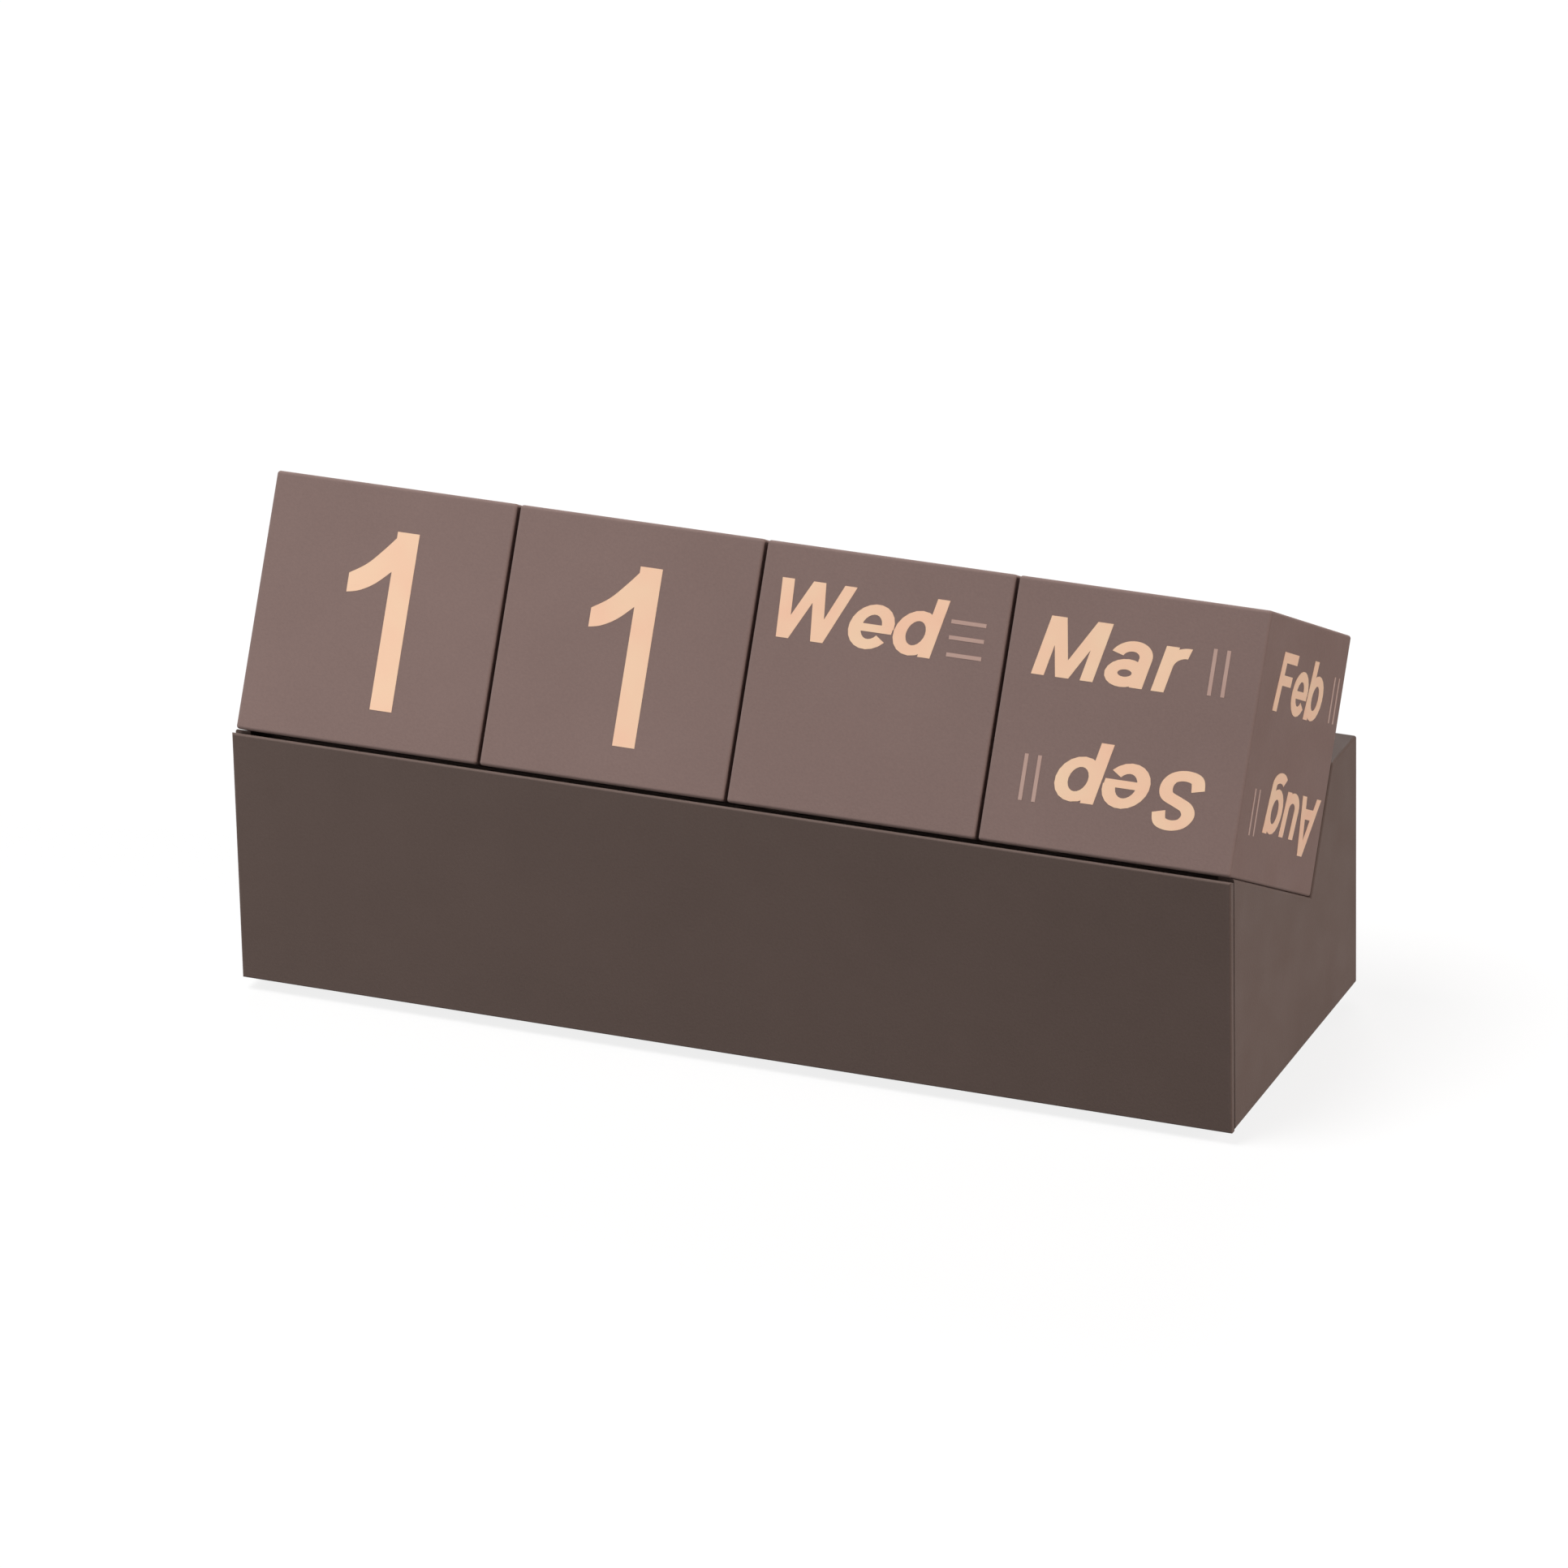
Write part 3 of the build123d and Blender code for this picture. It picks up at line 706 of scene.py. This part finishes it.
def dress_base():
    """The case and the drawer front share one block's edges, so the paler edges, partly wear and partly
    painted highlight, run on from one to the other.
    """
    low_front, high_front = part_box("drawer_front")
    low_case, high_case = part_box("case_shell")
    low = np.minimum(low_front, low_case)
    high = np.maximum(high_front, high_case)
    plastic = block_plastic("case_plastic", CASE_COLOUR, (low + high) / 2, (high - low) / 2, CASE_WEAR_AND_HIGHLIGHT)
    for node in ("case_shell", "drawer_front", "base_plate"):
        set_material(node, plastic)
    set_material("drawer_tray", tray_plastic())
    rubber = foot_rubber()
    steel = screw_steel()
    for node in NODES:
        if node.startswith("foot_"):
            set_material(node, rubber)
        if "_screw_" in node:
            set_material(node, steel)


# ================================================================ camera
CAMERA_AZIMUTH = radians(22.59)
CAMERA_ELEVATION = radians(24.51)
CAMERA_ROLL = radians(-1.29)
CAMERA_DISTANCE = 1.7106
CAMERA_SENSOR = 36.0  # the sensor's width and the lens are in millimetres
CAMERA_LENS = 258.74
AIM_RIGHT = 8.36 * MM  # from the foot of the base's front to what the middle of the picture shows
AIM_UP = 41.05 * MM


def camera_basis():
    """Right, up and backward directions of the camera, rolled about the view's axis."""
    right = Vector((cos(CAMERA_AZIMUTH), sin(CAMERA_AZIMUTH), 0.0))
    back = Vector((sin(CAMERA_AZIMUTH) * cos(CAMERA_ELEVATION), -cos(CAMERA_AZIMUTH) * cos(CAMERA_ELEVATION),
                   sin(CAMERA_ELEVATION)))
    up = back.cross(right)
    rolled_right = right * cos(CAMERA_ROLL) + up * sin(CAMERA_ROLL)
    rolled_up = up * cos(CAMERA_ROLL) - right * sin(CAMERA_ROLL)
    return rolled_right, rolled_up, back


def add_camera():
    """The camera at the photograph's angle."""
    right, up, back = camera_basis()
    base_front = Vector((0.0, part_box("drawer_front")[0].y, FOOT_STAND))
    place = base_front + right * AIM_RIGHT + up * AIM_UP + back * CAMERA_DISTANCE
    camera = add_object("camera", bpy.data.cameras.new("camera"))
    camera.data.sensor_width = CAMERA_SENSOR
    camera.data.lens = CAMERA_LENS
    camera.data.clip_start = 50 * MM
    camera.matrix_world = Matrix.Translation(place) @ Matrix((right, up, back)).transposed().to_4x4()
    bpy.context.scene.camera = camera


# ================================================================ light
SUN_ANGLE = radians(28.0)  # how wide the far lamps look, which softens their shadows
LIGHT_AIM = Vector((0.0, 0.0, 40 * MM))
WHITE = (1.0, 1.0, 1.0)
WARM_WHITE = (1.0, 0.90, 0.84)


def add_softbox(name, direction, distance, size, level):
    """A square lamp that faces the calendar. At that distance, a surface square to it renders at level:
    the power is level times (pi times the distance) squared."""
    data = bpy.data.lights.new(name, "AREA")
    data.shape = "SQUARE"
    data.size = size
    data.energy = level * (pi * distance) ** 2
    lamp = add_object(name, data)
    towards = Vector(direction).normalized()
    lamp.location = LIGHT_AIM + towards * distance
    lamp.rotation_euler = towards.to_track_quat("Z", "Y").to_euler()


def add_sun(name, direction, level, colour=WHITE):
    """A far, soft lamp: a surface square to it renders at level times its colour, because its strength is
    pi times the level."""
    data = bpy.data.lights.new(name, "SUN")
    data.angle = SUN_ANGLE
    data.energy = pi * level
    data.color = colour
    lamp = add_object(name, data)
    lamp.rotation_euler = Vector(direction).to_track_quat("Z", "Y").to_euler()


def seen_ray(tree):
    """1 for rays that show what is behind: from the camera, in a mirror or through glass."""
    path = add_node(tree, "ShaderNodeLightPath").outputs
    mirrored = maths(tree, "MAXIMUM", path["Is Glossy Ray"], path["Is Transmission Ray"])
    return maths(tree, "MAXIMUM", path["Is Camera Ray"], mirrored)


def mix_by_ray(tree, lighting, seen, surface):
    """Gives the surface one shader for the light it throws and another for how it is seen."""
    mix = add_node(tree, "ShaderNodeMixShader")
    tree.links.new(seen_ray(tree), mix.inputs[0])
    tree.links.new(lighting.outputs[0], mix.inputs[1])
    tree.links.new(seen.outputs[0], mix.inputs[2])
    tree.links.new(mix.outputs[0], surface)


def add_world(fill):
    """White where it is seen, and a weak even fill light on the calendar."""
    world = bpy.data.worlds.new("studio")
    world.use_nodes = True
    tree = world.node_tree
    fill_light = tree.nodes["Background"]
    fill_light.inputs["Color"].default_value = (*WHITE, 1.0)
    fill_light.inputs["Strength"].default_value = fill
    white = add_node(tree, "ShaderNodeBackground")
    white.inputs["Color"].default_value = (*WHITE, 1.0)
    mix_by_ray(tree, fill_light, white, tree.nodes["World Output"].inputs["Surface"])
    bpy.context.scene.world = world


def add_lights():
    """A key light from above, a warmer one from the right for the end of the base, a weak light from
    behind, a near softbox at the left that fades towards the right, and a weak even fill."""
    add_sun("key_light", direction=(-0.30, -0.27, 0.915), level=0.78)
    add_sun("side_light", direction=(0.90, -0.05, 0.43), level=0.58, colour=WARM_WHITE)
    add_sun("back_light", direction=(-0.30, 0.80, 0.50), level=0.40)
    add_softbox("near_light", direction=(-0.80, -0.55, 0.15), distance=0.43, size=0.20, level=0.25)
    add_world(fill=0.05)


# ================================================================ floor
FLOOR_LEVEL = -0.02 * MM  # just under the feet
FLOOR_HALF = 4.0
FLOOR_BOUNCE = (0.15, 0.147, 0.144, 1.0)  # the colour that lights the calendar from below
FLOOR_SHADOW = (0.16, 0.16, 0.16, 1.0)  # the part of the seen white that a shadow takes away
FLOOR_GLOW = 0.83  # and the part that it leaves


def add_floor():
    """A pale floor. It looks white with the calendar's soft shadow, and throws little light back up."""
    mesh = bpy.data.meshes.new("floor")
    signs = ((-1, -1), (1, -1), (1, 1), (-1, 1))
    mesh.from_pydata([(x * FLOOR_HALF, y * FLOOR_HALF, FLOOR_LEVEL) for x, y in signs], [], [(0, 1, 2, 3)])
    floor = add_object("floor", mesh)
    material = bpy.data.materials.new("floor")
    material.use_nodes = True
    tree = material.node_tree
    tree.nodes.remove(tree.nodes["Principled BSDF"])
    dull = add_node(tree, "ShaderNodeBsdfDiffuse")
    dull.inputs["Color"].default_value = FLOOR_BOUNCE
    shadowed = add_node(tree, "ShaderNodeBsdfDiffuse")
    shadowed.inputs["Color"].default_value = FLOOR_SHADOW
    glow = add_node(tree, "ShaderNodeEmission")
    glow.inputs["Strength"].default_value = FLOOR_GLOW
    seen = add_node(tree, "ShaderNodeAddShader")
    tree.links.new(shadowed.outputs[0], seen.inputs[0])
    tree.links.new(glow.outputs[0], seen.inputs[1])
    mix_by_ray(tree, dull, seen, tree.nodes["Material Output"].inputs["Surface"])
    mesh.materials.append(material)


dress_cubes()
dress_base()
add_camera()
add_lights()
add_floor()
bpy.context.scene.view_settings.view_transform = "Standard"
